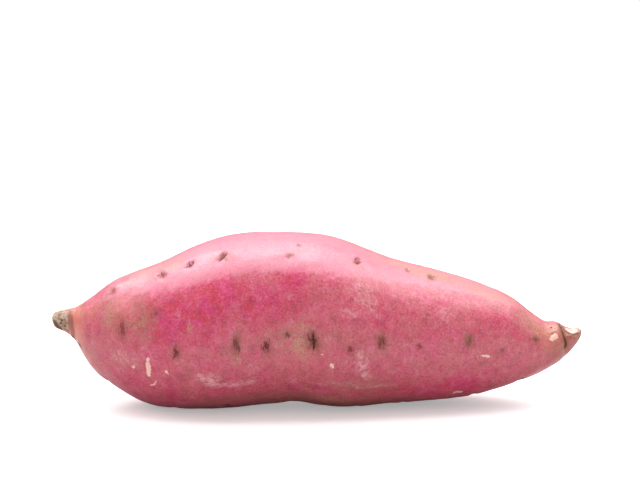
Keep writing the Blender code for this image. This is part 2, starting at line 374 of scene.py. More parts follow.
PATCHES = (
    # Strong magenta of the front
    Patch(Tint.MAGENTA, 0.245, 20, 34, 34, 1.0),
    Patch(Tint.MAGENTA, 0.315, 26, 34, 26, 1.0),
    Patch(Tint.MAGENTA, 0.390, 22, 30, 22, 0.7),
    Patch(Tint.MAGENTA, 0.450, 36, 22, 16, 0.7),
    Patch(Tint.MAGENTA, 0.520, 40, 16, 12, 0.5),
    Patch(Tint.MAGENTA, 0.590, 24, 20, 14, 0.5),
    Patch(Tint.MAGENTA, 0.720, -40, 50, 16, 0.7),
    Patch(Tint.MAGENTA, 0.860, 26, 26, 12, 0.45),
    Patch(Tint.MAGENTA, 0.190, -44, 36, 16, 0.55),
    # Hidden sides
    Patch(Tint.MAGENTA, 0.30, 190, 60, 40, 0.9),
    Patch(Tint.MAGENTA, 0.62, 165, 50, 30, 0.7),
    Patch(Tint.MAGENTA, 0.45, 250, 60, 40, 0.6),
    Patch(Tint.MAGENTA, 0.78, 230, 40, 26, 0.6),
    # Pale freckles; those along the top, at 62 to 66 degrees, also lighten the top band as painted highlight
    Patch(Tint.BLOOM, 0.405, 40, 14, 16, 0.7),
    Patch(Tint.BLOOM, 0.575, 36, 26, 16, 0.6),
    Patch(Tint.BLOOM, 0.720, 30, 40, 18, 0.5),
    Patch(Tint.BLOOM, 0.850, 36, 20, 14, 0.4),
    Patch(Tint.BLOOM, 0.180, 66, 30, 14, 0.6),
    Patch(Tint.BLOOM, 0.300, 62, 50, 24, 0.6),
    Patch(Tint.BLOOM, 0.480, 66, 50, 26, 0.6),
    Patch(Tint.BLOOM, 0.640, 66, 40, 20, 0.5),
    Patch(Tint.BLOOM, 0.760, 66, 40, 16, 0.5),
    Patch(Tint.BLOOM, 0.120, 40, 16, 14, 0.5),
    Patch(Tint.BLOOM, 0.400, 150, 60, 36, 0.6),
    Patch(Tint.BLOOM, 0.700, 190, 60, 36, 0.6),
    # Scuffs
    Patch(Tint.SCUFF, 0.313, -28, 6, 6, 1.0, -20),
    Patch(Tint.SCUFF, 0.345, -33, 14, 4, 0.6),
    Patch(Tint.SCUFF, 0.557, 18, 7, 4, 0.7),
    Patch(Tint.SCUFF, 0.583, -16, 5, 12, 0.9, 12),
    Patch(Tint.SCUFF, 0.583, 30, 17, 15, 0.55, -20),
    Patch(Tint.SCUFF, 0.732, 30, 10, 8, 0.5),
    Patch(Tint.SCUFF, 0.150, -10, 14, 6, 0.5, 20),
    Patch(Tint.SCUFF, 0.560, -34, 26, 5, 0.4),
    Patch(Tint.SCUFF, 0.26, 205, 10, 8, 0.8),
    Patch(Tint.SCUFF, 0.55, 220, 24, 6, 0.6, 15),
    Patch(Tint.SCUFF, 0.66, 140, 12, 8, 0.7),
    # Tan, scaly places
    Patch(Tint.TAN, 0.241, 64, 6, 5, 0.8),
    Patch(Tint.TAN, 0.713, 71, 14, 5, 0.8),
    Patch(Tint.TAN, 0.123, 28, 4, 6, 0.8),
    Patch(Tint.TAN, 0.157, 31, 5, 4, 0.4),
    Patch(Tint.TAN, 0.275, 12, 2.5, 7, 0.6),
    Patch(Tint.TAN, 0.468, -8, 7, 11, 0.7),
    Patch(Tint.TAN, 0.480, 4, 6, 4, 0.7),
    Patch(Tint.TAN, 0.357, -16, 3, 6, 0.6),
    Patch(Tint.TAN, 0.617, 3, 4, 6, 0.5),
    Patch(Tint.TAN, 0.777, 8, 3, 5, 0.6),
    Patch(Tint.TAN, 0.068, 46, 5, 4, 0.5),
    Patch(Tint.TAN, 0.534, -52, 16, 5, 0.7),
    Patch(Tint.TAN, 0.36, 172, 9, 7, 0.8),
    Patch(Tint.TAN, 0.52, 205, 7, 9, 0.7),
    Patch(Tint.TAN, 0.80, 160, 8, 6, 0.8),
    Patch(Tint.TAN, 0.20, 150, 6, 8, 0.6),
    Patch(Tint.TAN, 0.60, 260, 10, 8, 0.5),
    Patch(Tint.TAN, 0.9410, 50, 4.4, 5.0, 1.0),
    Patch(Tint.TAN, 0.9560, 90, 3.0, 3.0, 0.7),
    Patch(Tint.TAN, 0.9900, 10, 5.0, 8.0, 0.6),
    # Olive-brown flecks
    Patch(Tint.FLECK, 0.215, 64, 26, 11, 1.0),
    Patch(Tint.FLECK, 0.330, 60, 26, 8, 0.8),
    Patch(Tint.FLECK, 0.400, 54, 26, 8, 0.6),
    Patch(Tint.FLECK, 0.470, 60, 22, 10, 0.6),
    Patch(Tint.FLECK, 0.580, 60, 22, 10, 0.6),
    Patch(Tint.FLECK, 0.700, 72, 34, 12, 1.0),
    Patch(Tint.FLECK, 0.800, 66, 40, 12, 0.8),
    Patch(Tint.FLECK, 0.890, 40, 22, 16, 0.9),
    Patch(Tint.FLECK, 0.935, 20, 14, 24, 0.8),
    Patch(Tint.FLECK, 0.125, 34, 14, 20, 0.9),
    Patch(Tint.FLECK, 0.175, 22, 14, 20, 0.9),
    Patch(Tint.FLECK, 0.080, 40, 14, 12, 0.9),
    Patch(Tint.FLECK, 0.150, -10, 16, 12, 0.5),
    Patch(Tint.FLECK, 0.357, -8, 7, 18, 0.9),
    Patch(Tint.FLECK, 0.460, 0, 26, 14, 0.8),
    Patch(Tint.FLECK, 0.617, 2, 9, 12, 0.7),
    Patch(Tint.FLECK, 0.777, 8, 9, 12, 0.7),
    Patch(Tint.FLECK, 0.500, -54, 90, 12, 0.7),
    Patch(Tint.FLECK, 0.30, 140, 60, 24, 0.8),
    Patch(Tint.FLECK, 0.60, 170, 60, 40, 0.7),
    Patch(Tint.FLECK, 0.45, 215, 80, 24, 0.7),
    Patch(Tint.FLECK, 0.80, 200, 40, 40, 0.7),
    Patch(Tint.FLECK, 0.12, 180, 20, 40, 0.9),
    Patch(Tint.FLECK, 0.50, 275, 120, 24, 0.6),
    # Grey smudges
    Patch(Tint.SMUDGE, 0.9950, 40, 3.0, 9.0, 0.9),
    Patch(Tint.SMUDGE, 0.9880, 110, 3.0, 4.0, 0.7),
    Patch(Tint.SMUDGE, 0.094, -18, 5, 6, 0.5),
    Patch(Tint.SMUDGE, 0.451, 54, 6, 4, 0.5),
    Patch(Tint.SMUDGE, 0.746, 52, 4, 2, 0.5),
    Patch(Tint.SMUDGE, 0.357, -2, 3, 9, 0.5),
    Patch(Tint.SMUDGE, 0.157, 18, 5, 9, 0.35),
    Patch(Tint.SMUDGE, 0.213, 24, 3, 4, 0.4),
    # Browner skin; the first three bands darken the underside along its length
    Patch(Tint.EARTH, 0.500, -62, 90, 14, 0.9),
    Patch(Tint.EARTH, 0.590, -34, 36, 12, 0.7),
    Patch(Tint.EARTH, 0.350, -52, 44, 12, 0.6),
    Patch(Tint.EARTH, 0.560, 0, 40, 14, 0.35),
    Patch(Tint.EARTH, 0.190, 24, 11, 18, 0.75, 8),
    Patch(Tint.EARTH, 0.135, 22, 12, 16, 0.45),
    Patch(Tint.EARTH, 0.465, -6, 30, 14, 0.45),
    Patch(Tint.EARTH, 0.060, -24, 14, 22, 0.7),
    Patch(Tint.EARTH, 0.987, 0, 9, 40, 1.2),
    Patch(Tint.EARTH, 0.960, 0, 12, 40, 1.0),
    Patch(Tint.EARTH, 0.900, -40, 24, 14, 0.5),
    Patch(Tint.EARTH, 0.500, 270, 150, 26, 0.6),
    Patch(Tint.EARTH, 0.960, 180, 14, 40, 0.9),
    # Orange skin of the neck and the upper right
    Patch(Tint.SALMON, 0.050, 20, 9, 40, 1.0),
    Patch(Tint.SALMON, 0.050, 200, 9, 40, 1.0),
    Patch(Tint.SALMON, 0.085, 40, 8, 12, 0.5),
    Patch(Tint.SALMON, 0.780, 80, 64, 16, 0.5),
    Patch(Tint.SALMON, 0.620, 92, 40, 16, 0.5),
    Patch(Tint.SALMON, 0.140, 30, 16, 20, 0.45),
    Patch(Tint.TAN, 0.200, 76, 34, 12, 0.55),
    Patch(Tint.TAN, 0.690, 80, 50, 10, 0.60),
    Patch(Tint.TAN, 0.820, 68, 38, 12, 0.55),
    Patch(Tint.TAN, 0.900, 46, 20, 14, 0.55),
    Patch(Tint.TAN, 0.175, 22, 16, 16, 0.40),
    Patch(Tint.TAN, 0.125, 34, 14, 14, 0.42),
    Patch(Tint.TAN, 0.460, -2, 24, 12, 0.40),
    Patch(Tint.SALMON, 0.930, 30, 12, 14, 0.7),
    Patch(Tint.SALMON, 0.470, -14, 26, 16, 0.4),
    Patch(Tint.SALMON, 0.075, -30, 12, 14, 0.5),
    # Rusty collar and spots
    Patch(Tint.RUST, 0.906, 19, 3, 2.4, 0.6),
    Patch(Tint.RUST, 0.487, -41, 3.4, 2.4, 0.5),
    # Bare flesh
    Patch(Tint.FLESH, 0.196, -8.5, 1.5, 1.8, 0.9),
    Patch(Tint.FLESH, 0.168, -16.5, 2.4, 1.6, 0.6, 30),
    Patch(Tint.FLESH, 0.230, -19, 1.6, 2.0, 0.7, 30),
    Patch(Tint.FLESH, 0.528, -19, 1.6, 2.2, 1.0, 25),
    Patch(Tint.FLESH, 0.510, -12, 1.0, 1.0, 0.8),
    Patch(Tint.FLESH, 0.810, -7, 4.2, 1.1, 0.9, -10),
    Patch(Tint.FLESH, 0.761, -51, 4.0, 2.0, 0.9),
    Patch(Tint.FLESH, 0.9425, 27, 3.2, 2.6, 0.80),
    Patch(Tint.FLESH, 0.9810, 74, 4.6, 3.2, 1.0),
    Patch(Tint.FLESH, 0.44, 200, 3.4, 1.6, 0.8),
    Patch(Tint.FLESH, 0.70, 250, 1.8, 2.4, 0.8),
    # Dark spots; those in the knob's holes are painted shade
    Patch(Tint.DARK_AND_SHADE, 0.0195, 10, 0.9, 1.3, 1.0),
    Patch(Tint.DARK_AND_SHADE, 0.0170, -7, 0.8, 0.9, 1.0),
    Patch(Tint.DARK_AND_SHADE, 0.0255, -20, 0.8, 0.9, 0.9),
    Patch(Tint.DARK_AND_SHADE, 0.0240, 34, 0.7, 0.8, 0.7),
    Patch(Tint.DARK_AND_SHADE, 0.9390, 56, 0.9, 0.8, 0.8),
    Patch(Tint.DARK_AND_SHADE, 0.9450, 49, 0.8, 0.7, 0.8),
    Patch(Tint.DARK_AND_SHADE, 0.9395, 38, 0.8, 0.8, 0.8),
    Patch(Tint.DARK_AND_SHADE, 0.9820, 22, 1.0, 1.0, 0.4),
    Patch(Tint.DARK_AND_SHADE, 0.041, -50, 1.4, 1.4, 0.7),
    Patch(Tint.DARK_AND_SHADE, 0.059, -31, 1.6, 1.3, 0.8),
)


# Lower edge, in degrees along the length, of the painted highlight band over the top.
PAINTED_HIGHLIGHT_EDGE = (
    (0.00, 60.0), (0.10, 50.0), (0.20, 42.0), (0.40, 40.0), (0.52, 41.0), (0.60, 46.0), (0.68, 53.0),
    (0.85, 55.0), (1.00, 70.0),
)


def bell(distance: np.ndarray) -> np.ndarray:
    """A smooth bump: 1 in the middle and almost nothing at twice the unit distance."""
    return np.exp(-(distance**2))


def plateau(distance: np.ndarray) -> np.ndarray:
    """A flat-topped bump: nearly 1 up to the unit distance, then a quick fall."""
    return np.exp(-(distance**4))


def smooth_through(stations: Stations, shares: np.ndarray) -> np.ndarray:
    """A smooth curve through stations.

    Args:
        stations: pairs of share and value, in order.
        shares: where the curve is read.

    Returns:
        The curve's value at each of the shares.
    """
    knots, values = np.array(stations).T
    slopes = np.gradient(values, knots)
    after = np.clip(np.searchsorted(knots, shares, side="right"), 1, len(knots) - 1)
    before = after - 1
    span = knots[after] - knots[before]
    t = (shares - knots[before]) / span
    return (
        (2 * t**3 - 3 * t**2 + 1) * values[before]
        + (t**3 - 2 * t**2 + t) * span * slopes[before]
        + (3 * t**2 - 2 * t**3) * values[after]
        + (t**3 - t**2) * span * slopes[after]
    )


@dataclass
class Grain:
    """Smooth random relief, from a block of seeded values blended between its corners."""

    seed: int
    side: int = 48

    def __post_init__(self) -> None:
        """Draws the block of values."""
        self.values = np.random.default_rng(self.seed).uniform(-1, 1, (self.side,) * 3)

    def at(self, points: np.ndarray, size: tuple[float, float, float]) -> np.ndarray:
        """The relief at points.

        Args:
            points: places, with X, Y, Z as the last axis.
            size: how big one wave is along X, Y and Z.

        Returns:
            Values between -1 and 1.
        """
        cells = points / np.array(size)
        corner = np.floor(cells).astype(int)
        t = cells - corner
        t = t * t * (3 - 2 * t)
        total = np.zeros(points.shape[:-1])
        for step in np.ndindex(2, 2, 2):
            index = (corner + step) % self.side
            weight = np.prod(np.where(np.array(step) == 1, t, 1 - t), axis=-1)
            total += weight * self.values[index[..., 0], index[..., 1], index[..., 2]]
        return total

    def layered(self, points: np.ndarray, size: tuple[float, float, float], layers: int = 3) -> np.ndarray:
        """Several sizes of relief on top of each other, each half the size and height of the last.

        Args:
            points: places, with X, Y, Z as the last axis.
            size: how big the largest wave is along X, Y and Z.
            layers: how many sizes are added.

        Returns:
            Values of about -1 to 1.
        """
        total = np.zeros(points.shape[:-1])
        for layer in range(layers):
            share = 0.5**layer
            total += share * self.at(points + layer * 0.0137, tuple(edge * share for edge in size))
        return total / 1.4


@dataclass
class RootForm:
    """The root's outlines and relief, as on the CAD solid, with finer marks added."""

    length: float
    height: float = 63 * MM
    flat_depth: float = 0.5 * MM
    knob_rounding: float = 4.5 * MM
    tail_rounding: float = 1.3 * MM
    knob_bluntness: float = 2.1
    tail_bluntness: float = 2.2
    knob_turn: float = math.radians(28)
    knob_turn_share: float = 0.07
    knob_hollow: float = 0.9 * MM
    knob_hollow_radius: float = 1.7 * MM
    relief_limit: float = 0.3
    upper_edge: Stations = (
        (0.000, 0.545), (0.030, 0.555), (0.055, 0.582), (0.075, 0.620), (0.115, 0.704),
        (0.155, 0.758), (0.195, 0.810), (0.238, 0.869), (0.283, 0.924), (0.328, 0.967),
        (0.372, 0.988), (0.418, 0.992), (0.464, 0.990), (0.506, 0.978), (0.551, 0.943),
        (0.596, 0.889), (0.642, 0.835), (0.732, 0.763), (0.823, 0.678), (0.868, 0.617),
        (0.914, 0.513), (0.932, 0.480), (0.951, 0.477), (0.963, 0.462), (0.974, 0.447),
        (0.985, 0.442), (1.000, 0.448),
    )
    lower_edge: Stations = (
        (0.000, 0.448), (0.030, 0.420), (0.046, 0.376), (0.061, 0.300), (0.075, 0.235),
        (0.115, 0.134), (0.169, 0.034), (0.194, 0.008), (0.238, -0.008), (0.325, -0.006),
        (0.415, 0.019), (0.464, 0.030), (0.506, 0.007), (0.551, -0.008), (0.642, 0.010),
        (0.732, 0.026), (0.778, 0.046), (0.823, 0.074), (0.868, 0.117), (0.914, 0.172),
        (0.963, 0.262), (0.985, 0.330), (1.000, 0.392),
    )
    midline: Stations = (
        (0.00, -0.040), (0.10, -0.025), (0.25, -0.015), (0.45, -0.010), (0.60, 0.030),
        (0.75, 0.035), (0.90, 0.015), (1.00, -0.010),
    )
    fullness: Stations = (
        (0.00, 1.00), (0.06, 1.00), (0.15, 0.97), (0.28, 1.03), (0.42, 0.97),
        (0.56, 1.02), (0.75, 1.05), (0.90, 0.98), (1.00, 1.00),
    )
    lobes: tuple[tuple[int, float, float, float], ...] = (
        (3, 40, 0.012, 0.02), (5, 46, 0.006, -0.02), (7, 20, 0.002, 0.10),
    )
    hidden_rows: tuple[tuple[float, float, int], ...] = (
        (112, 0.16, 9), (158, 0.12, 11), (205, 0.15, 10), (250, 0.20, 9), (292, 0.13, 8),
    )
    hidden_last_share: float = 0.90
    hidden_seed: int = 7
    look_seed: int = 11
    strew_share: float = 0.02
    strew_angle: float = 9
    hidden_lengths: tuple[float, float] = (3.0, 7.0)
    hidden_widths: tuple[float, float] = (1.8, 2.8)
    hidden_depths: tuple[float, float] = (0.5, 1.2)
    hidden_tilt: float = 25

    def end_rounding(self, distance: np.ndarray, reach: float, bluntness: float) -> np.ndarray:
        """How much of its full size the root has at a distance from one of its ends.

        Args:
            distance: distance from the end, in metres.
            reach: where the full size is reached.
            bluntness: exponent of the rounding, where 2 is a ball.

        Returns:
            Shares from 0 to 1.
        """
        left = np.clip(1 - distance / reach, 0, 1)
        return (1 - left**bluntness) ** (1 / bluntness)

    def section_scale(self, shares: np.ndarray) -> np.ndarray:
        """The share of its outline that each ring fills: less than 1 only at the two ends."""
        knob = self.end_rounding(shares * self.length, self.knob_rounding, self.knob_bluntness)
        tail = self.end_rounding((1 - shares) * self.length, self.tail_rounding, self.tail_bluntness)
        return knob * tail

    def half_height(self, shares: np.ndarray) -> np.ndarray:
        """Half of the local height."""
        upper = smooth_through(self.upper_edge, shares)
        lower = smooth_through(self.lower_edge, shares)
        return (upper - lower) * self.height / 2

    def ring_shares(self, rings: int) -> np.ndarray:
        """Places along the length for the rings, closer together at the knob and the tail.

        Args:
            rings: how many rings there are.

        Returns:
            Their shares of the length, from knob to tail.
        """
        fine = (1 - np.cos(np.linspace(0, math.pi, 6000))) / 2
        radius = self.half_height(fine) * self.section_scale(fine)
        steps = np.hypot(np.diff(fine) * self.length, np.diff(radius))
        middle = (fine[1:] + fine[:-1]) / 2
        crowding = 1 + 1.6 * bell(middle / 0.06) + 1.2 * bell((1 - middle) / 0.06)
        travelled = np.concatenate([[0], np.cumsum(steps * crowding)])
        return np.interp(np.linspace(0, travelled[-1], rings + 2)[1:-1], travelled, fine)

    def hidden_eyes(self) -> list[Eye]:
        """The eyes of the rows on the back, top and underside, strewn a little off their rows."""
        rng = np.random.default_rng(self.hidden_seed)
        looks = np.random.default_rng(self.look_seed)
        limits = (self.hidden_lengths, self.hidden_widths, self.hidden_depths)
        eyes = []
        for row_angle, first, count in self.hidden_rows:
            for row_share in np.linspace(first, self.hidden_last_share, count):
                share = row_share + rng.uniform(-self.strew_share, self.strew_share)
                angle = row_angle + rng.uniform(-self.strew_angle, self.strew_angle)
                sizes = [rng.uniform(*pair) for pair in limits]
                tilt = rng.uniform(-self.hidden_tilt, self.hidden_tilt)
                dark, halo, rust = looks.uniform((0.35, 0.2, 0.1), (0.95, 0.9, 0.8))
                eyes.append(eye(share, angle, *sizes, tilt, dark, halo, rust))
        return eyes

    def relief_of(self, mark: Mark, shares: np.ndarray, angles: np.ndarray, radii: np.ndarray) -> np.ndarray:
        """How far one mark raises each point of the surface.

        Args:
            mark: the mark.
            shares: places of the points along the length.
            angles: their places round the root, in radians.
            radii: the local half height.

        Returns:
            The rise in metres.
        """
        across, lengthwise = mark.lie(shares, angles, radii, self.length)
        half_length = mark.length / 2
        half_width = mark.width / 2
        shape = bell(np.hypot(across / half_width, lengthwise / half_length))
        lip = bell(np.hypot(across / (1.5 * mark.width), (lengthwise - half_length) / half_length))
        return mark.rise * MM * (shape - mark.brow * lip)

    def crease_relief(self, crease: Crease, shares: np.ndarray, angles: np.ndarray) -> np.ndarray:
        """How far one crease lowers each point of the surface.

        Args:
            crease: the crease.
            shares: places of the points along the length.
            angles: their places round the root, in radians.

        Returns:
            The rise in metres, which is negative.
        """
        turned = (angles - math.radians(crease.angle) + math.pi) % FULL_TURN - math.pi
        sweep = turned / math.radians(crease.half_span)
        middle = crease.share + crease.slant * sweep
        along = (shares - middle) * self.length / (crease.width * MM / 2)
        return -crease.depth * MM * bell(along) * bell(sweep)

    def lobed_ring(self, shares: np.ndarray, angles: np.ndarray) -> list[np.ndarray]:
        """The two coordinates of every point on its ring, swelled by the lobes and stretched to +-1.

        Args:
            shares: places of the rings along the length, one row each.
            angles: places of the points round the root, in radians.

        Returns:
            The coordinates across and up.
        """
        swell = np.ones(np.broadcast(shares, angles).shape)
        for count, crest, size, twist in self.lobes:
            turned = angles - math.radians(crest) - twist * FULL_TURN * shares
            swell = swell + size * np.cos(count * turned)
        across = swell * -np.cos(angles)
        up = swell * np.sin(angles)
        return [
            2 * (part - part.min(axis=1, keepdims=True)) / np.ptp(part, axis=1)[:, None] - 1
            for part in (across, up)
        ]

    def fine_relief(self, places: np.ndarray, shares: np.ndarray, angles: np.ndarray, radii: np.ndarray) -> np.ndarray:
        """The relief that is too fine for the CAD solid: slits, cork, cracks and uneven skin.

        Args:
            places: the smooth surface's points.
            shares: their places along the length.
            angles: their places round the root, in radians.
            radii: the local half height.

        Returns:
            The rise in metres.
        """
        broad = Grain(3).layered(places, (9 * MM, 7 * MM, 7 * MM))
        skin = Grain(4).layered(places, (2.6 * MM, 2.0 * MM, 2.0 * MM))
        lines = Grain(5).layered(places, (9 * MM, 1.1 * MM, 1.1 * MM), 2)
        rings = Grain(6).layered(places, (1.3 * MM, 6 * MM, 6 * MM), 2)
        chips = Grain(8).layered(places, (2.2 * MM, 1.5 * MM, 1.5 * MM))
        wander = Grain(9).at(places, (1.5 * MM, 1.5 * MM, 1.5 * MM))
        rise = np.zeros(places.shape[:-1])
        for each in (*FRONT_EYES, *self.hidden_eyes()):
            across, lengthwise = each.lie(shares, angles, radii, self.length)
            across = across + 0.45 * wander
            ends = plateau(lengthwise / (0.42 * each.length))
            slit = bell(across / 0.45) * ends
            sides = bell((np.abs(across) - 0.55 * each.width) / 0.5) * ends
            whole = bell(np.hypot(across / (0.6 * each.width), lengthwise / (0.6 * each.length)))
            rise += MM * (0.20 * each.dark + 0.06) * (0.35 * sides - slit)
            rise += MM * 0.16 * whole * (skin + 0.6 * wander)
        for scar in FINE_SCARS:
            rise += self.relief_of(scar, shares, angles, radii)
        for crease in FINE_CREASES:
            rise += self.crease_relief(crease, shares, angles)
        for stroke in STROKES:
            rise -= MM * stroke.depth * bell(stroke.away(shares, angles, radii, self.length))

        knob = plateau(shares / 0.037)
        neck = bell((shares - 0.07) / 0.04)
        tail = bell((1 - shares) / 0.065)
        rise += MM * (0.16 * broad + 0.045 * skin) * (1 - knob)
        rise += MM * lines * (0.02 + 0.10 * tail + 0.05 * neck)
        rise += MM * rings * (0.02 + 0.07 * neck + 0.05 * tail)
        rise += MM * 0.34 * chips * knob
        return rise

    def surface(self, shares: np.ndarray, angles: np.ndarray) -> tuple[np.ndarray, np.ndarray]:
        """The finished surface.

        Args:
            shares: places of the rings along the length, one row each.
            angles: places of the points round the root in radians, one column each.

        Returns:
            The points as rings by points by X, Y, Z, and the two end points.
        """
        tall = self.half_height(shares) * self.section_scale(shares)
        deep = tall * smooth_through(self.fullness, shares)
        upper = smooth_through(self.upper_edge, shares)
        lower = smooth_through(self.lower_edge, shares)
        middle_z = (upper + lower) * self.height / 2
        middle_y = smooth_through(self.midline, shares) * self.height
        across, up = self.lobed_ring(shares, angles)

        smooth = np.stack(np.broadcast_arrays(shares * self.length, across * deep, up * tall), axis=-1)
        relief = np.zeros(smooth.shape[:-1])
        for mark in (*SWELLS, *FRONT_EYES, *self.hidden_eyes(), *SCARS):
            relief += self.relief_of(mark, shares, angles, tall)
        for crease in CREASES:
            relief += self.crease_relief(crease, shares, angles)
        relief += self.fine_relief(smooth, shares, angles, tall)
        relief = np.clip(relief, -self.relief_limit * tall, self.relief_limit * tall)

        y = across * deep - relief * np.cos(angles)
        z = up * tall + relief * np.sin(angles)
        turn = math.tan(self.knob_turn) * np.clip(1 - shares / self.knob_turn_share, 0, 1) ** 2
        cup = bell(np.hypot(y, z) / self.knob_hollow_radius) * bell(shares * self.length / self.knob_rounding)
        x = shares * self.length - y * turn + self.knob_hollow * cup
        rings = np.stack([x, y + middle_y, z + middle_z], axis=-1)
        ends = np.stack([rings[0].mean(axis=0), rings[-1].mean(axis=0)])
        return rings, ends


class NodeBench:
    """Adds shader nodes to one material or world and wires them up."""

    def __init__(self, owner: bpy.types.Material | bpy.types.World) -> None:
        """Clears the owner's nodes."""
        owner.use_nodes = True
        self.tree = owner.node_tree
        self.tree.nodes.clear()
        self.spot = 0

    def node(self, kind: str, **settings: Any) -> bpy.types.ShaderNode:
        """One new node.

        Args:
            kind: the node's type name without its Shader prefix.
            **settings: properties to set on it.

        Returns:
            The node.
        """
        made = self.tree.nodes.new("ShaderNode" + kind)
        made.location = (self.spot % 12 * 200, -(self.spot // 12) * 260)
        self.spot += 1
        for name, value in settings.items():
            setattr(made, name, value)
        return made

    def feed(self, socket: bpy.types.NodeSocket, value: Any) -> None:
        """Wires a socket into another, or sets its own value."""
        if isinstance(value, bpy.types.NodeSocket):
            self.tree.links.new(value, socket)
        else:
            socket.default_value = value

    def math(self, operation: str, *values: Any, clamp: bool = False) -> bpy.types.NodeSocket:
        """The result of one sum.

        Args:
            operation: the Math node's operation.
            *values: its inputs, sockets or numbers.
            clamp: whether the result stays between 0 and 1.

        Returns:
            The result's socket.
        """
        made = self.node("Math", operation=operation, use_clamp=clamp)
        for socket, value in zip(made.inputs, values):
            self.feed(socket, value)
        return made.outputs[0]

    def field(self, name: str) -> bpy.types.NodeSocket:
        """One of the mesh's number fields."""
        return self.node("Attribute", attribute_name=name).outputs["Fac"]

    def three(self, name: str) -> list[bpy.types.NodeSocket]:
        """The three parts of one of the mesh's vector fields."""
        vector = self.node("Attribute", attribute_name=name).outputs["Vector"]
        split = self.node("SeparateXYZ")
        self.feed(split.inputs[0], vector)
        return list(split.outputs)

    def joined(self, x: Any, y: Any, z: Any) -> bpy.types.NodeSocket:
        """A vector from three parts."""
        made = self.node("CombineXYZ")
        for socket, value in zip(made.inputs, (x, y, z)):
            self.feed(socket, value)
        return made.outputs[0]

    def object_place(self, stretch: tuple[float, float, float], shift: float = 0.0) -> bpy.types.NodeSocket:
        """The place on the object in millimetres, stretched.

        Args:
            stretch: how much smaller a pattern is seen along X, Y and Z.
            shift: how far the pattern is moved.

        Returns:
            The place's socket.
        """
        mapping = self.node("Mapping")
        self.feed(mapping.inputs["Vector"], self.node("TexCoord").outputs["Object"])
        mapping.inputs["Scale"].default_value = tuple(part / MM for part in stretch)
        mapping.inputs["Location"].default_value = (shift, shift * 0.7, shift * 1.3)
        return mapping.outputs[0]

    def noise(self, place: Any, size: float, detail: float = 2.0, rough: float = 0.5) -> bpy.types.NodeSocket:
        """Cloudy noise.

        Args:
            place: where it is read, in millimetres.
            size: how big one cloud is, in millimetres.
            detail: how many finer layers lie on it.
            rough: how strong the finer layers are.

        Returns:
            A socket with values round 0.5.
        """
        made = self.node("TexNoise")
        self.feed(made.inputs["Vector"], place)
        made.inputs["Scale"].default_value = 1 / size
        made.inputs["Detail"].default_value = detail
        made.inputs["Roughness"].default_value = rough
        return made.outputs[0]

    def cells(self, place: Any, size: float, feature: str = "F1") -> bpy.types.NodeSocket:
        """The distance to the nearest of many strewn points, or to the border between them.

        Args:
            place: where it is read, in millimetres.
            size: how far the points lie apart, in millimetres.
            feature: the Voronoi node's feature.

        Returns:
            The distance's socket.
        """
        made = self.node("TexVoronoi", feature=feature)
        self.feed(made.inputs["Vector"], place)
        made.inputs["Scale"].default_value = 1 / size
        return made.outputs["Distance"]

    def rise(self, value: Any, low: float, high: float, top: Any = 1.0) -> bpy.types.NodeSocket:
        """A soft step.

        Args:
            value: what it follows.
            low: where the step starts.
            high: where it is complete. Below low, the step falls instead.
            top: its value when complete.

        Returns:
            A socket from 0 to top.
        """
        made = self.node("MapRange", interpolation_type="SMOOTHSTEP")
        falls = high < low
        self.feed(made.inputs["Value"], value)
        made.inputs["From Min"].default_value = min(low, high)
        made.inputs["From Max"].default_value = max(low, high)
        self.feed(made.inputs["To Min"], top if falls else 0.0)
        self.feed(made.inputs["To Max"], 0.0 if falls else top)
        return made.outputs[0]

    def mix(self, share: Any, below: Any, above: Any, blend: str = "MIX") -> bpy.types.NodeSocket:
        """One colour over another.

        Args:
            share: how much of the upper colour shows.
            below: the lower colour, a socket or three numbers.
            above: the upper colour, a socket or three numbers.
            blend: the Mix node's blend type.

        Returns:
            The colour's socket.
        """
        made = self.node("Mix", data_type="RGBA", blend_type=blend, clamp_factor=True)
        sockets = [socket for socket in made.inputs if socket.enabled]
        self.feed(sockets[0], share)
        for socket, colour in zip(sockets[1:], (below, above)):
            self.feed(socket, (*colour, 1.0) if isinstance(colour, tuple) else colour)
        return next(socket for socket in made.outputs if socket.enabled)

    def blend(self, share: Any, below: Any, above: Any) -> bpy.types.NodeSocket:
        """A number between two others."""
        made = self.node("Mix", data_type="FLOAT", clamp_factor=True)
        sockets = [socket for socket in made.inputs if socket.enabled]
        for socket, value in zip(sockets, (share, below, above)):
            self.feed(socket, value)
        return next(socket for socket in made.outputs if socket.enabled)


